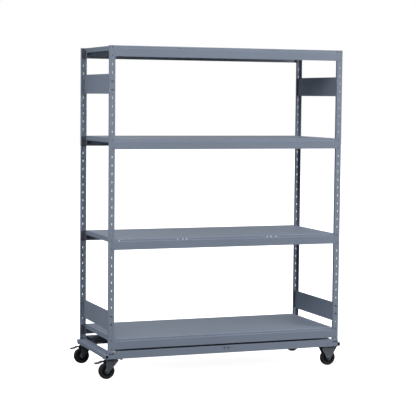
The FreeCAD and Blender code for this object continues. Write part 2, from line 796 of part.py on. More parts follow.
def make_swivel_fork(name, x, y):
    """The turning fork: a round crown and two raked legs that trail behind the kingpin."""
    body = new_body(name + "_fork")
    add_legs(body, name, [
        ("-crown_radius", "-crown_top"),
        ("fork_front_x", "-crown_top"),
        ("fork_front_x", "-crown_top - fork_shoulder"),
        ("fork_boss_radius - caster_trail", f"-{AXLE_DROP}"),
        ("-fork_boss_radius - caster_trail", f"-{AXLE_DROP}"),
        ("-fork_waist_x", "-fork_waist_drop"),
        ("-fork_back_x", "-fork_back_low"),
        ("-fork_back_x", "-fork_back_high"),
    ], "-caster_trail")
    open_legs(body, name, "crown_top + fork_wall")
    crown = new_sketch(body, "XY_Plane", name + "_crown", "-crown_top")
    circles(crown, "crown_radius", [("0", "0")])
    pad(body, crown, name + "_crown_pad", "fork_wall", symmetric=False, reverse=True)
    bore = new_sketch(body, "XY_Plane", name + "_bore")
    circles(bore, "kingpin_radius + bearing_gap", [("0", "0")])
    cut_through(body, bore, name + "_bore_cut")
    for part, radius, centre in (
            ("axle", "axle_radius", ("-caster_trail", "-" + AXLE_DROP)),
            ("pedal", "pedal_pin_radius", ("-pedal_pivot_x", "-pedal_pivot_drop"))):
        holes = new_sketch(body, "XZ_Plane", f"{name}_{part}_holes")
        circles(holes, radius, [centre])
        cut_through(body, holes, f"{name}_{part}_hole_cut")
    place(body, x, y, "base_height")


def make_swivel_head(name, x, y):
    """What stays with the base: the plate, the ball race under it and the kingpin."""
    plate = new_body(name + "_caster_plate")
    add_plate(plate, name + "_caster_plate")
    holes = new_sketch(plate, "XY_Plane", name + "_plate_holes")
    circles(holes, "caster_hole_radius", PLATE_HOLES)
    circles(holes, "kingpin_radius", [("0", "0")])
    cut_through(plate, holes, name + "_plate_hole_cut")
    place(plate, x, y, "base_height")

    race = new_body(name + "_ball_race")
    profile = new_sketch(race, "XZ_Plane", name + "_race_profile")
    outline(profile, [
        ("race_bore_radius", "-plate_wall"),
        ("race_radius", "-plate_wall"),
        ("race_radius", "-plate_wall - race_step"),
        ("race_radius - race_taper", "joint_gap - crown_top"),
        ("race_bore_radius", "joint_gap - crown_top"),
    ])
    ring = race.newObject("PartDesign::Revolution", name + "_race_ring")
    ring.Profile = profile
    ring.ReferenceAxis = (profile, ["V_Axis"])
    place(race, x, y, "base_height")

    head_top = "crown_top + fork_wall + joint_gap"
    shank = cylinder(name + "_kingpin_shank", "kingpin_radius", head_top)
    head = cylinder(name + "_kingpin_head", "kingpin_head_radius", "kingpin_head_height")
    bind(shank, "Placement.Base.z", f"-({head_top})")
    bind(head, "Placement.Base.z", f"-({head_top}) - kingpin_head_height")
    pin = doc.addObject("Part::Fuse", name + "_kingpin")
    pin.Label = name + "_kingpin"
    pin.Base = shank
    pin.Tool = head
    finished.append(pin)
    place(pin, x, y, "base_height")


def make_pedal(name, x, y):
    """A brake pedal on a pin through the fork, with a nose that presses on the tyre."""
    body = new_body(name + "_brake_pedal")
    side = new_sketch(body, "XZ_Plane", name + "_pedal_side")
    outline(side, [
        ("pedal_back - pedal_pivot_x", "-pedal_neck_drop"),
        ("-pedal_neck_x", "-pedal_neck_drop"),
        ("-pedal_bend_x", "-pedal_bend_drop"),
        ("-pedal_reach", "-pedal_tip_drop"),
        ("-pedal_reach", "-pedal_tip_drop - pedal_wall"),
        ("-pedal_bend_x", "-pedal_bend_drop - pedal_wall"),
        ("-pedal_neck_x", "-pedal_neck_drop - pedal_wall"),
        ("-pedal_nose_x - pedal_eye_radius", "-pedal_neck_drop - pedal_wall"),
        ("-pedal_nose_x - pedal_nose_width / 2", "-pedal_nose_drop"),
        ("pedal_nose_width / 2 - pedal_nose_x", "-pedal_nose_drop"),
        ("pedal_back - pedal_pivot_x", "-pedal_pivot_drop - pedal_back"),
    ])
    pad(body, side, name + "_pedal_arm", "pedal_width")
    eye = new_sketch(body, "XZ_Plane", name + "_pedal_eye")
    circles(eye, "pedal_eye_radius", [("-pedal_pivot_x", "-pedal_pivot_drop")])
    pad(body, eye, name + "_pedal_eye_pad", "pedal_width")
    hole = new_sketch(body, "XZ_Plane", name + "_pedal_hole")
    circles(hole, "pedal_pin_radius + bearing_gap", [("-pedal_pivot_x", "-pedal_pivot_drop")])
    cut_through(body, hole, name + "_pedal_bore")
    place(body, x, y, "base_height")

    pin = cylinder(name + "_pedal_pin", "pedal_pin_radius", "fork_gap + 2 * fork_wall")
    pin.Label = name + "_pedal_pin"
    finished.append(pin)
    lay_along_y(pin, f"{x} - pedal_pivot_x", f"{y} - fork_gap / 2 - fork_wall",
                "base_height - pedal_pivot_drop")


def make_rigid_fork(name, x, y):
    """A fixed fork: plate and two tapered legs pressed from one piece."""
    body = new_body(name + "_fork")
    add_plate(body, name + "_fork")
    add_legs(body, name, [
        ("rigid_leg_inset - plate_length / 2", "-plate_wall"),
        ("plate_length / 2 - rigid_leg_inset", "-plate_wall"),
        ("plate_length / 2 - rigid_leg_inset", "-rigid_leg_drop"),
        ("fork_boss_radius", f"-{AXLE_DROP}"),
        ("-fork_boss_radius", f"-{AXLE_DROP}"),
        ("rigid_leg_inset - plate_length / 2", "-rigid_leg_drop"),
    ], "0")
    open_legs(body, name, "plate_wall")
    holes = new_sketch(body, "XY_Plane", name + "_plate_holes")
    circles(holes, "caster_hole_radius", PLATE_HOLES)
    cut_through(body, holes, name + "_plate_hole_cut")
    axle = new_sketch(body, "XZ_Plane", name + "_axle_holes")
    circles(axle, "axle_radius", [("0", "-" + AXLE_DROP)])
    cut_through(body, axle, name + "_axle_hole_cut")
    place(body, x, y, "base_height")


def make_wheel(name, x, y):
    """A solid rubber tyre on a hub that turns on a sleeve round the axle bolt."""
    tyre = new_body(name + "_tyre")
    section = new_sketch(tyre, "YZ_Plane", name + "_tyre_section")
    rectangle(section, "-wheel_width / 2", "wheel_width / 2", "rim_radius", "wheel_radius")
    ring = tyre.newObject("PartDesign::Revolution", name + "_tyre_ring")
    ring.Profile = section
    ring.ReferenceAxis = (section, ["H_Axis"])
    tread = number("wheel_radius")

    def shoulder(edge):
        return abs(edge.BoundBox.ZMax - tread) < 0.01 and not along(edge, FreeCAD.Vector(0, 1, 0))

    round_edges(tyre, ring, name + "_tyre_shoulders", "wheel_width / 5", shoulder)
    place(tyre, x, y, "wheel_radius")

    hub = new_body(name + "_hub")
    section = new_sketch(hub, "YZ_Plane", name + "_hub_section")
    bore = "sleeve_radius + bearing_gap"
    rim_inside = "rim_radius - rim_wall"
    outline(section, [
        ("-hub_length / 2", bore),
        ("hub_length / 2", bore),
        ("hub_length / 2", "hub_radius"),
        ("hub_web / 2", "hub_radius + 1"),
        ("hub_web / 2", rim_inside),
        ("rim_width / 2", rim_inside),
        ("rim_width / 2", "rim_radius"),
        ("-rim_width / 2", "rim_radius"),
        ("-rim_width / 2", rim_inside),
        ("-hub_web / 2", rim_inside),
        ("-hub_web / 2", "hub_radius + 1"),
        ("-hub_length / 2", "hub_radius"),
    ])
    turned = hub.newObject("PartDesign::Revolution", name + "_hub_turned")
    turned.Profile = section
    turned.ReferenceAxis = (section, ["H_Axis"])
    place(hub, x, y, "wheel_radius")


def make_axle(name, x, y):
    """The axle bolt with its head to the front, its nut, and the sleeve clamped in the fork."""
    half = number("fork_gap / 2 + fork_wall")
    radius = number("axle_radius")
    spot = FreeCAD.Vector(number(x), number(y), number("wheel_radius"))
    rearwards = FreeCAD.Vector(0, 1, 0)
    flats = number("axle_bolt_flats")
    length = 2 * half + number("axle_bolt_spare")
    bolt = bolt_shape(radius, length, flats, number("axle_head_height"))
    nut = nut_shape(radius, flats, number("axle_nut_height"))
    group(name + "_axle_bolt", [put(bolt, spot - half * rearwards, rearwards)])
    group(name + "_axle_nut", [put(nut, spot + half * rearwards, rearwards)])

    outside = cylinder(name + "_sleeve_outside", "sleeve_radius", "fork_gap")
    inside = cylinder(name + "_sleeve_inside", "axle_radius", "fork_gap")
    sleeve = doc.addObject("Part::Cut", name + "_axle_sleeve")
    sleeve.Label = name + "_axle_sleeve"
    sleeve.Base = outside
    sleeve.Tool = inside
    finished.append(sleeve)
    lay_along_y(sleeve, x, f"{y} - fork_gap / 2", "wheel_radius")


def make_casters():
    for name, x, y, kind in caster_spots():
        if kind == "swivel":
            make_swivel_head(name, x, y)
            make_swivel_fork(name, x, y)
            make_pedal(name, x, y)
            wheel_x = x + " - caster_trail"
        else:
            make_rigid_fork(name, x, y)
            wheel_x = x
        make_wheel(name, wheel_x, y)
        make_axle(name, wheel_x, y)


# ---------------------------------------------------------------- the cart

make_post("front_left_post", LEFT_SIDE, FRONT_FACE, False)
make_post("front_right_post", RIGHT_SIDE + " - post_web", FRONT_FACE, False)
make_post("rear_left_post", LEFT_SIDE + " + post_web", REAR_FACE, True)
make_post("rear_right_post", RIGHT_SIDE, REAR_FACE, True)
for shelf_name, shelf_top in SHELVES.items():
    make_shelf(shelf_name, shelf_top)
for panel_side in ("left", "right"):
    for panel_level in ("upper", "lower"):
        make_panel(panel_side, panel_level)
make_long_beam("base_front_beam", FRONT_FACE, False)
make_long_beam("base_rear_beam", REAR_FACE, True)
make_end_beam("base_left_beam", LEFT_SIDE + " - end_beam_overhang",
              "end_beam_overhang + kingpin_inset - plate_bolt_x", False)
make_end_beam("base_right_beam", RIGHT_SIDE + " + end_beam_overhang",
              "end_beam_overhang + rigid_inset - plate_bolt_x", True)
make_cross_member()
make_clips()
make_frame_bolts()
make_base_bolts()
make_caster_bolts()
make_casters()
doc.recompute()

# ---------------------------------------------------------------- checks and files

for item in doc.Objects:
    if "Invalid" in item.State or "Error" in item.State:
        raise RuntimeError(f"{item.Name} failed: {item.State}")
for item in finished:
    if item.Shape.isNull() or not item.Shape.isValid():
        raise RuntimeError(f"{item.Label} has no valid shape")

os.makedirs("parts", exist_ok=True)
whole = FreeCAD.BoundBox()
for item in finished:
    item.Shape.exportStep(f"parts/{item.Label}.step")
    whole.add(item.Shape.optimalBoundingBox(False))
print(f"{len(finished)} sub-parts")
print(f"X {whole.XMin:.2f} to {whole.XMax:.2f}, Y {whole.YMin:.2f} to {whole.YMax:.2f}, "
      f"Z {whole.ZMin:.2f} to {whole.ZMax:.2f}")
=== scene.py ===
# %% [markdown]
# # A tall book cart in powder-coated steel
# The cart has four pan shelves on slotted corner posts, narrow plates across its ends, and a low base
# on four casters. Its sheet metal is already right in the CAD model, which comes in as a frame. This
# lesson gives that metal its finishes, makes the small parts that a CAD solid leaves plain, and then
# sets up the light and the camera.

# %% Load the frame
import json
import math

import bmesh
import bpy
from mathutils import Matrix, Vector


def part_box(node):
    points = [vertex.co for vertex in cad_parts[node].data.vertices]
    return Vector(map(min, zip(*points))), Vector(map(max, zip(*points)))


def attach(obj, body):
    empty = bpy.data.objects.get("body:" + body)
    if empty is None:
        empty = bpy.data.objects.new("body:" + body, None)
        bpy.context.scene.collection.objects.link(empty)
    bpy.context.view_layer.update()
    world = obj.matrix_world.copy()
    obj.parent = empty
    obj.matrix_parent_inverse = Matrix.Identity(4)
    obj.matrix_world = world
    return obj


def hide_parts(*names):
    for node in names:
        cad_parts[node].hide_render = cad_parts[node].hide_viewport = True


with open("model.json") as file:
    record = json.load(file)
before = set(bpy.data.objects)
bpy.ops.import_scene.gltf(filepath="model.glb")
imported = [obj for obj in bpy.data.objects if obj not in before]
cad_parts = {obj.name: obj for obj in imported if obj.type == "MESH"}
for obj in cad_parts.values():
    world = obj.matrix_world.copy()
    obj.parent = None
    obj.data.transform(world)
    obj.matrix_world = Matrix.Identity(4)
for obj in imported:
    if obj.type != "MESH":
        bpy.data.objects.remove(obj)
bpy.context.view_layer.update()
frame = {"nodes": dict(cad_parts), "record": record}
nodes = frame["nodes"]

# %% [markdown]
# ## Two small tools for materials
# A paint chart gives colours as hex codes, which are sRGB, while a shader works with linear light, so
# one function turns one into the other. The second adds a node, sets what it is told, and links it.
# A setting of the node itself is given by name, and what goes into its sockets is a dictionary of
# values and of sockets to link from.

# %% Colours and nodes
def hex_colour(code):
    """The linear colour of an sRGB hex code."""
    channels = [int(code[i:i + 2], 16) / 255 for i in (0, 2, 4)]
    linear = [c / 12.92 if c <= 0.04045 else ((c + 0.055) / 1.055) ** 2.4 for c in channels]
    return (*linear, 1.0)


def add(tree, kind, sockets=None, **settings):
    """Add a node, set its own settings, and fill or link its input sockets."""
    node = tree.nodes.new(kind)
    for name, value in settings.items():
        setattr(node, name, value)
    for key, value in (sockets or {}).items():
        if isinstance(value, bpy.types.NodeSocket):
            tree.links.new(value, node.inputs[key])
        else:
            node.inputs[key].default_value = value
    return node


def per_mm(size):
    """The scale of a pattern whose features are this many millimetres across."""
    return 1000.0 / size


def new_material(name, sockets):
    """A material with only its shader, filled in from a dictionary, and a place to look things up."""
    material = bpy.data.materials.new(name)
    material.use_nodes = True
    tree = material.node_tree
    tree.nodes.clear()
    shader = add(tree, "ShaderNodeBsdfPrincipled", sockets)
    add(tree, "ShaderNodeOutputMaterial", {"Surface": shader.outputs["BSDF"]})
    place = add(tree, "ShaderNodeTexCoord").outputs["Object"]
    return material, tree, shader, place


def feed(tree, shader, **sources):
    """Link finished patterns into the shader's sockets."""
    for name, socket in sources.items():
        tree.links.new(socket, shader.inputs[name.replace("_", " ")])


print("one millimetre grain has a scale of", per_mm(1))

# %% [markdown]
# ## Blue-grey powder coat
# The shelves, posts, plates and base are folded steel with a baked polyester powder coat. Powder melts
# into a satin film with a faint orange-peel ripple a few millimetres across. Along each fold a paler
# line is painted in, a painted highlight for the edge catching the light. A fine noise bends the normal
# for the ripple, and a very wide one shifts the shade slightly, as batches of powder do. The painted
# highlight follows the Bevel node: where its rounded normal differs from the true one, there is an
# edge. A real fold in this gauge has a radius near 1.5 mm, and so has the node.

# %% Make the powder coat
FOLD_RADIUS = 0.0015
powder_coat, tree, shader, place = new_material("satin_polyester_powder_coat", {"IOR": 1.5})
cloud = add(tree, "ShaderNodeTexNoise", {"Vector": place, "Scale": per_mm(420), "Detail": 2.0})
tone = add(tree, "ShaderNodeMix", {"Factor": cloud.outputs["Fac"], "A": hex_colour("7F899A"),
                                   "B": hex_colour("8A94A5")}, data_type="RGBA")
fold = add(tree, "ShaderNodeBevel", {"Radius": FOLD_RADIUS}, samples=6)
flat = add(tree, "ShaderNodeNewGeometry")
turn = add(tree, "ShaderNodeVectorMath", {0: fold.outputs["Normal"], 1: flat.outputs["Normal"]},
           operation="DOT_PRODUCT")
# Where the Bevel normal turns away from the true normal, a paler colour is mixed in: a painted
# highlight along every fold.
edge = add(tree, "ShaderNodeMapRange", {"Value": turn.outputs["Value"], "From Min": 0.999,
                                        "From Max": 0.90, "To Max": 0.5})
painted_edge_highlight = add(tree, "ShaderNodeMix", {"Factor": edge.outputs["Result"], "A": tone.outputs["Result"],
                                   "B": hex_colour("B4BCCA")}, data_type="RGBA")
peel = add(tree, "ShaderNodeTexNoise", {"Vector": place, "Scale": per_mm(5), "Detail": 1.0})
ripple = add(tree, "ShaderNodeBump", {"Height": peel.outputs["Fac"], "Strength": 0.08,
                                      "Distance": 0.0004, "Normal": fold.outputs["Normal"]})
gloss = add(tree, "ShaderNodeMapRange", {"Value": cloud.outputs["Fac"], "To Min": 0.50,
                                         "To Max": 0.58})
feed(tree, shader, Base_Color=painted_edge_highlight.outputs["Result"], Roughness=gloss.outputs["Result"],
     Normal=ripple.outputs["Normal"])
print(powder_coat.name, "ready")

# %% [markdown]
# ## Bare and plated metals
# The caster forks are pressed steel with a dark passivated zinc plate, which looks like dull pewter.
# The bolts, pins and sleeves are bright zinc that has gone matt. Both are metals, so they keep the
# shader's default IOR. Zinc grows in crystals, and the eye sees them as small clouds of shade, drawn
# here a little coarser than life so that they show. A faint drawing grain from the press stretches one
# noise twelve times along the sheet.

# %% Make the plated metals
def plated_steel(name, dark, light, rough, spangle_mm):
    """A plated metal: crystal clouds in two shades, with a stretched grain in its roughness."""
    material, tree, shader, place = new_material(name, {"Metallic": 1.0})
    crystals = add(tree, "ShaderNodeTexVoronoi", {"Vector": place, "Scale": per_mm(spangle_mm)})
    shade = add(tree, "ShaderNodeMix", {"Factor": crystals.outputs["Color"],
                                        "A": hex_colour(dark), "B": hex_colour(light)},
                data_type="RGBA")
    stretched = add(tree, "ShaderNodeMapping", {"Vector": place, "Scale": (1 / 12, 1 / 12, 1)})
    grain = add(tree, "ShaderNodeTexNoise", {"Vector": stretched.outputs["Vector"],
                                             "Scale": per_mm(1.2), "Detail": 2.0})
    gloss = add(tree, "ShaderNodeMapRange", {"Value": grain.outputs["Fac"],
                                             "To Min": rough - 0.08, "To Max": rough + 0.08})
    dent = add(tree, "ShaderNodeBump", {"Height": grain.outputs["Fac"], "Strength": 0.15,
                                        "Distance": 0.0002})
    feed(tree, shader, Base_Color=shade.outputs["Result"], Roughness=gloss.outputs["Result"],
         Normal=dent.outputs["Normal"])
    return material


pewter_zinc = plated_steel("dark_passivated_zinc_on_pressed_steel", "848A93", "A1A8B2", 0.46, 6)
bright_zinc = plated_steel("matt_bright_zinc_plate", "A3A7AD", "C4C8CE", 0.34, 2)
print(pewter_zinc.name, "and", bright_zinc.name, "ready")

# %% [markdown]
# ## Black epoxy, rubber, nylon and phosphate
# The brake pedal is dipped in black epoxy, which is smoother than powder and shines a little. The tyre
# is solid rubber, near black and matt, with a fine pebble from its mould and dust in its low spots.
# The wheel's core is moulded nylon, a dark grey plastic with a spark-eroded surface. These three are
# the same idea, a dark surface with a grain, so one function makes them. It also makes the oiled
# phosphate on the spring-steel clips, which is a dull crystal skin that hides the metal.

# %% Make the dark finishes
def dark_moulding(name, deep, dusty, rough, grain_mm, relief):
    """A dark, grained surface: its high spots are deep in colour and its low spots hold dust."""
    material, tree, shader, place = new_material(name, {"IOR": 1.52})
    grain = add(tree, "ShaderNodeTexNoise", {"Vector": place, "Scale": per_mm(grain_mm),
                                             "Detail": 3.0})
    patches = add(tree, "ShaderNodeTexNoise", {"Vector": place, "Scale": per_mm(35)})
    dust = add(tree, "ShaderNodeMath", {0: grain.outputs["Fac"], 1: patches.outputs["Fac"]},
               operation="MULTIPLY")
    shade = add(tree, "ShaderNodeMix", {"Factor": dust.outputs["Value"], "A": hex_colour(deep),
                                        "B": hex_colour(dusty)}, data_type="RGBA")
    gloss = add(tree, "ShaderNodeMapRange", {"Value": patches.outputs["Fac"],
                                             "To Min": rough - 0.07, "To Max": rough + 0.07})
    pebble = add(tree, "ShaderNodeBump", {"Height": grain.outputs["Fac"], "Strength": relief,
                                          "Distance": 0.0003})
    feed(tree, shader, Base_Color=shade.outputs["Result"], Roughness=gloss.outputs["Result"],
         Normal=pebble.outputs["Normal"])
    return material


black_epoxy = dark_moulding("dipped_black_epoxy", "101114", "1E2024", 0.33, 9, 0.05)
tyre_rubber = dark_moulding("moulded_solid_rubber", "0B0C0D", "26282B", 0.62, 1.5, 0.35)
nylon = dark_moulding("spark_grained_nylon", "16181B", "2E3135", 0.50, 0.8, 0.25)
phosphate = dark_moulding("oiled_phosphate_on_spring_steel", "464A51", "6A6F78", 0.45, 0.6, 0.10)
print("dark finishes ready")

# %% [markdown]
# ## Finish the CAD parts
# Each CAD part names a material slot in its record, so a dictionary from slot to finish covers them
# all, and nothing about their shape is touched.

# %% Put the finishes on
FINISHES = {"enamelled_steel": powder_coat, "caster_steel": pewter_zinc,
            "zinc_fasteners": bright_zinc, "black_spring_steel": phosphate,
            "brake_pedal": black_epoxy, "wheel_core": nylon, "tyre_rubber": tyre_rubber}
slot_of = {row["node"]: row["material_slot"] for row in frame["record"]["subparts"]}
for name, part in nodes.items():
    part.data.materials.clear()
    part.data.materials.append(FINISHES[slot_of[name]])
print({slot: list(slot_of.values()).count(slot) for slot in FINISHES})


# %% [markdown]
# ## A helper for new pieces
# Every new piece needs the same last steps: the finish of the material slot it answers to, the body
# that it moves with, and hiding the CAD part it stands for. A mesh is shaded smooth, and its edges
# sharper than 30 degrees stay crisp.

# %% Finish a piece
def new_mesh(name, bm):
    """An object from mesh data, at the origin."""
    mesh = bpy.data.meshes.new(name)
    bm.to_mesh(mesh)
    bm.free()
    piece = bpy.data.objects.new(name, mesh)
    bpy.context.collection.objects.link(piece)
    return piece


def fit_out(piece, slot, body, stands_for):
    """Shade a piece, give it its finish, tie it to its body, and hide the CAD part it stands for."""
    piece.data.shade_smooth()
    piece.data.set_sharp_from_angle(angle=math.radians(30))
    piece.data.materials.clear()
    piece.data.materials.append(FINISHES[slot])
    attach(piece, body)
    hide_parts(stands_for)


print("finishing helper ready")

# %% [markdown]
# ## Where the bolts and nuts are
# The CAD groups hold plain prisms and cylinders. A copy of each group's mesh is merged and split into
# its separate solids. A bolt's axis is its longest side and a nut's its shortest. Which way a bolt
# points shows in its corners: the wide ones belong to its head.

# %% Find each bolt and nut
def separate_solids(node):
    """The corners of each separate solid in a CAD part's mesh, from a merged copy."""
    bm = bmesh.new()
    bm.from_mesh(nodes[node].data)
    bmesh.ops.remove_doubles(bm, verts=bm.verts, dist=1e-6)
    unseen = set(bm.verts)
    solids = []
    while unseen:
        front = [unseen.pop()]
        corners = []
        while front:
            vert = front.pop()
            corners.append(vert.co.copy())
            for edge in vert.link_edges:
                other = edge.other_vert(vert)
                if other in unseen:
                    unseen.remove(other)
                    front.append(other)
        solids.append(corners)
    bm.free()
    return solids


def seat_of(corners, is_nut, radius):
    """Where a bolt's head or a nut sits, and the way it points."""
    low = Vector([min(c[i] for c in corners) for i in range(3)])
    high = Vector([max(c[i] for c in corners) for i in range(3)])
    size, middle = high - low, (low + high) / 2
    axis = min(range(3), key=lambda i: size[i] if is_nut else -size[i])
    aim = Vector([float(i == axis) for i in range(3)])
    if is_nut:
        if middle.dot(aim) * (1 if axis < 2 else -1) > 0:
            aim = -aim
        return middle - aim * size[axis] / 2, aim
    wide = [c for c in corners if (c - middle - (c - middle).dot(aim) * aim).length > radius * 1.3]
    heights = [c.dot(aim) for c in wide]
    if sum(heights) / len(heights) > middle.dot(aim):
        return middle + (min(heights) - middle.dot(aim)) * aim, -aim
    return middle + (max(heights) - middle.dot(aim)) * aim, aim


seats = {name: [seat_of(s, False, 0.003) for s in separate_solids(name)]
         for name in ("frame_bolts", "base_bolts")}
seats["caster_bolts"] = [seat_of(s, False, 0.004) for s in separate_solids("caster_bolts")]
for name in ("frame_nuts", "base_nuts", "caster_nuts"):
    seats[name] = [seat_of(s, True, 0) for s in separate_solids(name)]
print({name: len(places) for name, places in seats.items()})

# %% [markdown]
# ## Geometry Nodes trees for what repeats
# Over a hundred bolts and nuts are the same two shapes in a few sizes. A node tree is the natural way:
# it makes one bolt from its sizes and puts a copy on every mark. The marks are a mesh of loose points,
# each with the direction its bolt points in. A tree starts from named inputs and ends by making the
# copies real and giving them their finish. Running it once and keeping the result gives a plain mesh.

# %% Start, end and run a tree
def start_tree(name, **inputs):
    """A new tree with a geometry input and the named ones."""
    tree = bpy.data.node_groups.new(name, "GeometryNodeTree")
    tree.interface.new_socket("Geometry", in_out="INPUT", socket_type="NodeSocketGeometry")
    for label, kind in {**inputs, "Finish": "Material"}.items():
        tree.interface.new_socket(label, in_out="INPUT", socket_type="NodeSocket" + kind)
    tree.interface.new_socket("Geometry", in_out="OUTPUT", socket_type="NodeSocketGeometry")
    return tree, add(tree, "NodeGroupInput").outputs


def end_tree(tree, geometry, given):
    """Make the copies real, paint them, and hand them out."""
    real = add(tree, "GeometryNodeRealizeInstances", {"Geometry": geometry})
    painted = add(tree, "GeometryNodeSetMaterial", {"Geometry": real.outputs["Geometry"],
                                                    "Material": given["Finish"]})
    add(tree, "NodeGroupOutput", {"Geometry": painted.outputs["Geometry"]})


def run_tree(piece, tree, **values):
    """Run a tree on a piece, and keep its result as the piece's own mesh."""
    modifier = piece.modifiers.new("shape", "NODES")
    modifier.node_group = tree
    for item in tree.interface.items_tree:
        if item.in_out == "INPUT" and item.name in values:
            modifier[item.identifier] = values[item.name]
    ready = piece.evaluated_get(bpy.context.evaluated_depsgraph_get())
    mesh = bpy.data.meshes.new_from_object(ready)
    piece.modifiers.clear()
    piece.data = mesh
    print(piece.name, len(mesh.vertices), "vertices")
    return piece


def maths(tree, operation, a, b):
    return add(tree, "ShaderNodeMath", {0: a, 1: b}, operation=operation).outputs["Value"]


def lifted(tree, mesh, z):
    """The mesh moved up by z."""
    shift = add(tree, "ShaderNodeCombineXYZ", {"Z": z}).outputs["Vector"]
    return add(tree, "GeometryNodeTransform", {"Geometry": mesh, "Translation": shift}).outputs[0]


def overlap(tree, first, second):
    """What two solids share."""
    both = add(tree, "GeometryNodeMeshBoolean", {"Mesh 2": first}, operation="INTERSECT")
    tree.links.new(second, both.inputs["Mesh 2"])
    return both.outputs["Mesh"]


print("tree tools ready")

# %% [markdown]
# ## A bolt and a nut
# A hexagon head is turned on a lathe before it is cut to six sides, so its outer corners are rounded
# off at 30 degrees. In nodes that is a six-sided cylinder overlapped with a wide, shallow cone. The
# nut has the same corners on both faces and a hole for the thread. Bolts stop turning wherever they
# get tight, so each copy has its own turn about its axis, from a fixed seed.

# %% Trees for bolts and nuts
CHAMFER_SLOPE = math.sqrt(3)
ROUND_FACE = 0.475
SPARE = 0.0005


def chamfered_cone(tree, flats, height, far_end_small):
    """A cone that trims the hexagon's corners at one end. It is a little taller at both ends, so
    that no face of one solid lies in a face of the other, which an overlap can't resolve."""
    face = maths(tree, "MULTIPLY", flats, ROUND_FACE)
    small = maths(tree, "SUBTRACT", face, CHAMFER_SLOPE * SPARE)
    run = maths(tree, "MULTIPLY", maths(tree, "ADD", height, 2 * SPARE), CHAMFER_SLOPE)
    large = maths(tree, "ADD", small, run)
    top, bottom = (small, large) if far_end_small else (large, small)
    cone = add(tree, "GeometryNodeMeshCone", {
        "Vertices": 35, "Radius Top": top, "Radius Bottom": bottom,
        "Depth": maths(tree, "ADD", height, 2 * SPARE)}).outputs[0]
    return add(tree, "GeometryNodeTransform", {"Geometry": cone,
                                               "Translation": (0, 0, -SPARE)}).outputs[0]


def hexagon(tree, flats, height):
    """A six-sided prism that stands on z = 0."""
    corner = maths(tree, "DIVIDE", flats, math.sqrt(3))
    prism = add(tree, "GeometryNodeMeshCylinder", {"Vertices": 6, "Radius": corner,
                                                   "Depth": height}).outputs[0]
    return lifted(tree, prism, maths(tree, "MULTIPLY", height, 0.5))


def on_marks(tree, given, shape):
    """A copy of the shape on every mark, pointing along the mark's aim, each with its own turn."""
    aim = add(tree, "GeometryNodeInputNamedAttribute", {"Name": "aim"}, data_type="FLOAT_VECTOR")
    turn = add(tree, "FunctionNodeAlignRotationToVector", {"Vector": aim.outputs["Attribute"]},
               axis="Z")
    chance = add(tree, "FunctionNodeRandomValue", {"Seed": given["Seed"]}, data_type="FLOAT")
    angle = maths(tree, "MULTIPLY", chance.outputs[1], math.tau)
    about_z = add(tree, "ShaderNodeCombineXYZ", {"Z": angle}).outputs["Vector"]
    own_turn = add(tree, "FunctionNodeEulerToRotation", {"Euler": about_z}).outputs["Rotation"]
    both = add(tree, "FunctionNodeRotateRotation", {"Rotation": turn.outputs["Rotation"],
                                                    "Rotate By": own_turn}, rotation_space="LOCAL")
    copies = add(tree, "GeometryNodeInstanceOnPoints", {
        "Points": given["Geometry"], "Instance": shape, "Rotation": both.outputs["Rotation"]})
    end_tree(tree, copies.outputs["Instances"], given)


bolt_tree, given = start_tree("hexagon_bolt", **{
    "Across flats": "Float", "Head height": "Float", "Shank radius": "Float",
    "Shank length": "Float", "Seed": "Int"})
flats, height = given["Across flats"], given["Head height"]
head = overlap(bolt_tree, hexagon(bolt_tree, flats, height),
               chamfered_cone(bolt_tree, flats, height, far_end_small=False))
head = lifted(bolt_tree, head, maths(bolt_tree, "MULTIPLY", height, -1.0))
tip_length = maths(bolt_tree, "MULTIPLY", given["Shank radius"], 0.3)
plain = maths(bolt_tree, "SUBTRACT", given["Shank length"], tip_length)
shank = add(bolt_tree, "GeometryNodeMeshCylinder", {
    "Vertices": 24, "Radius": given["Shank radius"], "Depth": plain}).outputs[0]
shank = lifted(bolt_tree, shank, maths(bolt_tree, "MULTIPLY", plain, 0.5))
tip_radius = maths(bolt_tree, "MULTIPLY", given["Shank radius"], 0.75)
tip = add(bolt_tree, "GeometryNodeMeshCone", {
    "Vertices": 24, "Radius Top": tip_radius, "Radius Bottom": given["Shank radius"],
    "Depth": tip_length}).outputs[0]
bolt = add(bolt_tree, "GeometryNodeJoinGeometry", {"Geometry": lifted(bolt_tree, tip, plain)})
for part in (shank, head):
    bolt_tree.links.new(part, bolt.inputs["Geometry"])
on_marks(bolt_tree, given, bolt.outputs["Geometry"])

nut_tree, given = start_tree("hexagon_nut", **{
    "Across flats": "Float", "Nut height": "Float", "Bore radius": "Float", "Seed": "Int"})
flats, height = given["Across flats"], given["Nut height"]
nut = overlap(nut_tree, hexagon(nut_tree, flats, height),
              chamfered_cone(nut_tree, flats, height, far_end_small=False))
nut = overlap(nut_tree, nut, chamfered_cone(nut_tree, flats, height, far_end_small=True))
drill = add(nut_tree, "GeometryNodeMeshCylinder", {
    "Vertices": 24, "Radius": given["Bore radius"],
    "Depth": maths(nut_tree, "MULTIPLY", height, 4.0)}).outputs[0]
nut = add(nut_tree, "GeometryNodeMeshBoolean", {"Mesh 1": nut, "Mesh 2": drill},
          operation="DIFFERENCE").outputs["Mesh"]
on_marks(nut_tree, given, nut)
print(len(bolt_tree.nodes), "nodes in the bolt and", len(nut_tree.nodes), "in the nut")

# %% [markdown]
# ## Put on the bolts and nuts
# Shelves, end plates and base are held with M6 screws, 10 mm across flats, and the casters with M8,
# 13 mm across flats. The heads on the base are the low kind, so that they stand out less.

# %% Bolts and nuts
def on_places(name, places):
    """A mesh of loose points, one for each place, with the way it points."""
    bm = bmesh.new()
    aim = bm.verts.layers.float_vector.new("aim")
    for spot, direction in places:
        bm.verts.new(spot)[aim] = direction
    return new_mesh(name, bm)


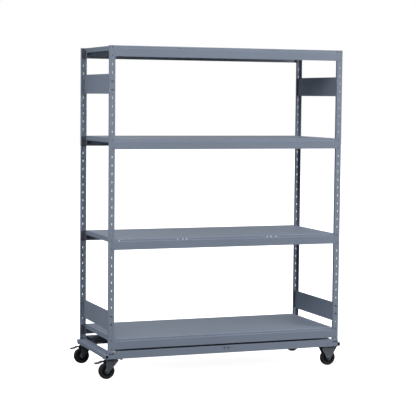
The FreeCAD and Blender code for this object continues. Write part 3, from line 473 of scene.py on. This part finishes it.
MM = 0.001
BOLTS = {"frame_bolts": (10, 4.0, 3, 12), "base_bolts": (10, 3.5, 3, 14),
         "caster_bolts": (13, 5.3, 4, 14)}
NUTS = {"frame_nuts": (10, 5.0, 3), "base_nuts": (10, 5.0, 3), "caster_nuts": (13, 6.5, 4)}
for seed, (name, (flats, height, radius, length)) in enumerate(BOLTS.items()):
    piece = on_places(name + "_hex_heads", seats[name])
    run_tree(piece, bolt_tree, **{
        "Across flats": flats * MM, "Head height": height * MM, "Shank radius": radius * MM,
        "Shank length": length * MM, "Seed": seed, "Finish": bright_zinc})
    fit_out(piece, "zinc_fasteners", "frame", name)
for seed, (name, (flats, height, radius)) in enumerate(NUTS.items()):
    piece = on_places(name + "_chamfered", seats[name])
    run_tree(piece, nut_tree, **{
        "Across flats": flats * MM, "Nut height": height * MM, "Bore radius": radius * MM,
        "Seed": seed, "Finish": bright_zinc})
    fit_out(piece, "zinc_fasteners", "frame", name)

# %% [markdown]
# ## Tyres
# A solid rubber tyre is moulded in two halves. Its tread is nearly flat with soft shoulders and a fine
# seam line round the middle, and its sides have two shallow rings that catch the light. Anything round
# is easiest as a lathe: one closed outline turned about the axle. The outline is in millimetres, as
# the distance from the axle and the distance across, for one side, and is mirrored for the other.

# %% A lathe
def lathe(name, outline, centre, axis, steps):
    """A solid from a closed outline of (radius, along) in millimetres, turned about Y or Z."""
    bm = bmesh.new()
    rings = []
    for step in range(steps):
        angle = math.tau * step / steps
        across, up = math.cos(angle), math.sin(angle)
        ring = []
        for radius, along in outline:
            spot = (radius * across, along, radius * up) if axis == "Y" else (
                radius * across, radius * up, along)
            ring.append(bm.verts.new(Vector(spot) * MM + centre))
        rings.append(ring)
    for ring, following in zip(rings, rings[1:] + rings[:1]):
        for i in range(len(outline)):
            j = (i + 1) % len(outline)
            bm.faces.new((ring[i], ring[j], following[j], following[i]))
    bmesh.ops.recalc_face_normals(bm, faces=bm.faces)
    return new_mesh(name, bm)


def both_sides(half):
    """An outline for one side, carried on round the other side."""
    return half + [(radius, -along) for radius, along in reversed(half)]


def middle_of(node):
    low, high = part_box(node)
    return (low + high) / 2


CORNERS = ("front_left", "rear_left", "front_right", "rear_right")
TYRE_SIDE = both_sides([
    (35.0, 14.0), (36.5, 14.6), (37.6, 15.0), (38.4, 15.0), (38.8, 14.4), (39.6, 14.3),
    (40.2, 14.9), (42.6, 14.9), (43.0, 14.3), (43.8, 14.2), (44.6, 14.5), (46.6, 13.6),
    (48.2, 12.2), (49.3, 10.4), (49.8, 8.4), (50.0, 5.0), (50.0, 0.9), (49.6, 0.35)])
for corner in CORNERS:
    tyre = lathe(corner + "_moulded_tyre", TYRE_SIDE, middle_of(corner + "_tyre"), "Y", 96)
    fit_out(tyre, "tyre_rubber", corner + "_wheel", corner + "_tyre")
print("tyre faces:", len(tyre.data.polygons))

# %% [markdown]
# ## Wheel cores
# A nylon core is moulded with thin walls, so that it cools without sinking: a boss for the axle, a
# rim, a web between them, and ribs that stiffen the web. The boss, web and rim are turned on the lathe.
# The ribs repeat round the axle, so a tree puts them on a circle and joins them to the turned part.

# %% A tree for the ribs, and the four cores
rib_tree, given = start_tree("wheel_ribs", **{
    "Ribs": "Int", "Boss radius": "Float", "Rim radius": "Float", "Rib wall": "Float",
    "Rib width": "Float", "Axle": "Vector"})
span = maths(rib_tree, "SUBTRACT", given["Rim radius"], given["Boss radius"])
reach = maths(rib_tree, "ADD", given["Rim radius"], given["Boss radius"])
circle = add(rib_tree, "GeometryNodeMeshCircle", {
    "Vertices": given["Ribs"], "Radius": maths(rib_tree, "MULTIPLY", reach, 0.5)})
bar = add(rib_tree, "ShaderNodeCombineXYZ", {
    "X": maths(rib_tree, "ADD", span, 0.001), "Y": given["Rib wall"], "Z": given["Rib width"]})
rib = add(rib_tree, "GeometryNodeMeshCube", {"Size": bar.outputs["Vector"]})
outwards = add(rib_tree, "FunctionNodeAlignRotationToVector", {
    "Vector": add(rib_tree, "GeometryNodeInputPosition").outputs["Position"]}, axis="X")
ribs = add(rib_tree, "GeometryNodeInstanceOnPoints", {
    "Points": circle.outputs["Mesh"], "Instance": rib.outputs["Mesh"],
    "Rotation": outwards.outputs["Rotation"]})
upright = add(rib_tree, "GeometryNodeTransform", {
    "Geometry": ribs.outputs["Instances"], "Rotation": (math.pi / 2, 0, 0),
    "Translation": given["Axle"]})
whole = add(rib_tree, "GeometryNodeJoinGeometry", {"Geometry": upright.outputs[0]})
rib_tree.links.new(given["Geometry"], whole.inputs["Geometry"])
end_tree(rib_tree, whole.outputs["Geometry"], given)

CORE_SIDE = both_sides([
    (7.05, 20.0), (10.8, 20.0), (11.6, 19.2), (12.4, 5.2), (13.6, 4.0), (29.6, 4.0), (30.8, 5.2),
    (31.4, 13.2), (32.0, 14.0), (35.0, 14.0)])
for corner in CORNERS:
    axle = middle_of(corner + "_hub")
    core = lathe(corner + "_ribbed_core", CORE_SIDE, axle, "Y", 64)
    run_tree(core, rib_tree, **{
        "Ribs": 8, "Boss radius": 12 * MM, "Rim radius": 31 * MM, "Rib wall": 2.4 * MM,
        "Rib width": 22 * MM, "Axle": axle, "Finish": nylon})
    fit_out(core, "wheel_core", corner + "_wheel", corner + "_hub")

# %% [markdown]
# ## Ball races
# Under each swivel caster's plate, two pressed rings hold a circle of steel balls that the fork turns
# on. The rings are lathe work about the kingpin, and the balls repeat round it, so they are a tree.

# %% Races with their balls
ball_tree, given = start_tree("ball_circle", **{
    "Balls": "Int", "Ball radius": "Float", "Circle radius": "Float", "Middle": "Vector"})
circle = add(ball_tree, "GeometryNodeMeshCircle", {"Vertices": given["Balls"],
                                                   "Radius": given["Circle radius"]})
ball = add(ball_tree, "GeometryNodeMeshUVSphere", {"Segments": 12, "Rings": 8,
                                                   "Radius": given["Ball radius"]})
balls = add(ball_tree, "GeometryNodeInstanceOnPoints", {"Points": circle.outputs["Mesh"],
                                                        "Instance": ball.outputs["Mesh"]})
placed = add(ball_tree, "GeometryNodeTransform", {"Geometry": balls.outputs["Instances"],
                                                  "Translation": given["Middle"]})
whole = add(ball_tree, "GeometryNodeJoinGeometry", {"Geometry": placed.outputs[0]})
ball_tree.links.new(given["Geometry"], whole.inputs["Geometry"])
end_tree(ball_tree, whole.outputs["Geometry"], given)

UPPER_RING = [(12.2, 0.0), (28.6, 0.0), (29.0, -0.5), (28.6, -4.2), (27.8, -4.4), (27.2, -2.6),
              (12.2, -2.4)]
LOWER_RING = [(12.2, -6.6), (23.4, -6.6), (22.6, -5.2), (21.4, -4.6), (12.2, -4.6)]
for corner in CORNERS[:2]:
    low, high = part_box(corner + "_ball_race")
    seat = Vector(((low.x + high.x) / 2, (low.y + high.y) / 2, high.z))
    race = lathe(corner + "_race_rings", UPPER_RING, seat, "Z", 64)
    lower = lathe(corner + "_lower_ring", LOWER_RING, seat, "Z", 64)
    bm = bmesh.new()
    bm.from_mesh(race.data)
    bm.from_mesh(lower.data)
    bm.to_mesh(race.data)
    bm.free()
    bpy.data.objects.remove(lower)
    run_tree(race, ball_tree, **{
        "Balls": 30, "Ball radius": 2.0 * MM, "Circle radius": 25.0 * MM,
        "Middle": seat - Vector((0, 0, 4.5 * MM)), "Finish": bright_zinc})
    fit_out(race, "zinc_fasteners", "frame", corner + "_ball_race")

# %% [markdown]
# ## Floor and light
# The cart stands on a plain white floor that runs out of sight. The floor has a little light of its
# own, so that it stays white where the softboxes fall off. It is hidden from bounced light, because
# the shelves' undersides are in deep shade and a white floor would light them up. From below it is
# clear, so that the casters and the base can be looked at. The light is soft: a large softbox high on
# the left, a second lower on the right, a weaker one behind, a small one that picks out the left end,
# and a glow from the ceiling that fades towards the horizon.

# %% Floor
FLOOR_HALF = 40.0
bm = bmesh.new()
bmesh.ops.create_grid(bm, x_segments=1, y_segments=1, size=FLOOR_HALF)
floor = new_mesh("studio_floor", bm)
floor_paper, tree, shader, place = new_material("white_paper_sweep", {
    "Base Color": (0.9, 0.9, 0.9, 1.0), "Roughness": 0.9, "Emission Color": (1.0, 1.0, 1.0, 1.0)})
away = add(tree, "ShaderNodeVectorMath", {0: place}, operation="LENGTH")
glow = add(tree, "ShaderNodeMapRange", {"Value": away.outputs["Value"], "From Min": 1.2,
                                        "From Max": 5.0, "To Min": 0.92, "To Max": 1.0})
above = add(tree, "ShaderNodeMath", {0: 1.0, 1: add(tree, "ShaderNodeNewGeometry").outputs[
    "Backfacing"]}, operation="SUBTRACT")
feed(tree, shader, Emission_Strength=glow.outputs["Result"], Alpha=above.outputs["Value"])
floor.data.materials.append(floor_paper)
floor.visible_diffuse = False
floor.visible_glossy = False

# %% Room and softboxes
world = bpy.data.worlds.new("studio_room")
bpy.context.scene.world = world
world.use_nodes = True
tree = world.node_tree
tree.nodes.clear()
way = add(tree, "ShaderNodeTexCoord").outputs["Generated"]
height = add(tree, "ShaderNodeSeparateXYZ", {"Vector": way}).outputs["Z"]
room_light = add(tree, "ShaderNodeMapRange", {"Value": height, "From Min": -0.05, "From Max": 0.8,
                                              "To Min": 0.01, "To Max": 0.80})
room = add(tree, "ShaderNodeBackground", {"Color": (0.92, 0.96, 1.0, 1.0),
                                          "Strength": room_light.outputs["Result"]})
backdrop = add(tree, "ShaderNodeBackground", {"Color": (1.0, 1.0, 1.0, 1.0)})
seen = add(tree, "ShaderNodeLightPath").outputs["Is Camera Ray"]
mixed = add(tree, "ShaderNodeMixShader", {0: seen, 1: room.outputs[0], 2: backdrop.outputs[0]})
add(tree, "ShaderNodeOutputWorld", {"Surface": mixed.outputs[0]})


MIDDLE_OF_CART = Vector((0, 0, 1.0))


def softbox(name, place, width, height, watts):
    """A rectangular area light that looks from a place to the middle of the cart."""
    light = bpy.data.lights.new(name, "AREA")
    light.shape = "RECTANGLE"
    light.size, light.size_y, light.energy = width, height, watts
    lamp = bpy.data.objects.new(name, light)
    bpy.context.collection.objects.link(lamp)
    look = MIDDLE_OF_CART - Vector(place)
    lamp.location = place
    lamp.rotation_euler = look.to_track_quat("-Z", "Y").to_euler()


softbox("key_softbox", (-2.0, -4.5, 5.0), 4.0, 3.0, 135)
softbox("right_softbox", (4.5, -4.0, 2.6), 2.0, 3.0, 150)
softbox("left_softbox", (-2.8, -0.7, 1.4), 1.2, 2.2, 22)
softbox("rear_softbox", (1.5, 5.5, 4.6), 3.0, 3.0, 20)
bpy.context.scene.view_settings.view_transform = "Standard"

# %% [markdown]
# ## Camera
# The camera stands nine metres away, a little to the left and a little above the middle of the cart,
# with a long lens, so that the posts stay nearly parallel. It is turned 21 degrees to the right, looks
# 4.4 degrees down, and leans by half a degree.

# %% Camera
LENS = 124.0
SENSOR_WIDTH = 36.0
STAND = (-3.2987, -8.5693, 1.7211)
TURN, DOWN, LEAN = (math.radians(angle) for angle in (21.146, 4.403, 0.581))
forward = Vector((math.sin(TURN) * math.cos(DOWN), math.cos(TURN) * math.cos(DOWN),
                  -math.sin(DOWN)))
level = forward.cross(Vector((0, 0, 1))).normalized()
upward = level.cross(forward)
right = level * math.cos(LEAN) + upward * math.sin(LEAN)
upward = right.cross(forward)
camera = bpy.data.objects.new("studio_camera", bpy.data.cameras.new("studio_camera"))
camera.data.lens = LENS
camera.data.sensor_width = SENSOR_WIDTH
camera.data.clip_end = 200.0
turned = Matrix((right, upward, -forward)).transposed().to_4x4()
camera.matrix_world = Matrix.Translation(STAND) @ turned
bpy.context.collection.objects.link(camera)
bpy.context.scene.camera = camera
print("camera is", round(camera.matrix_world.translation.length, 2), "m away")
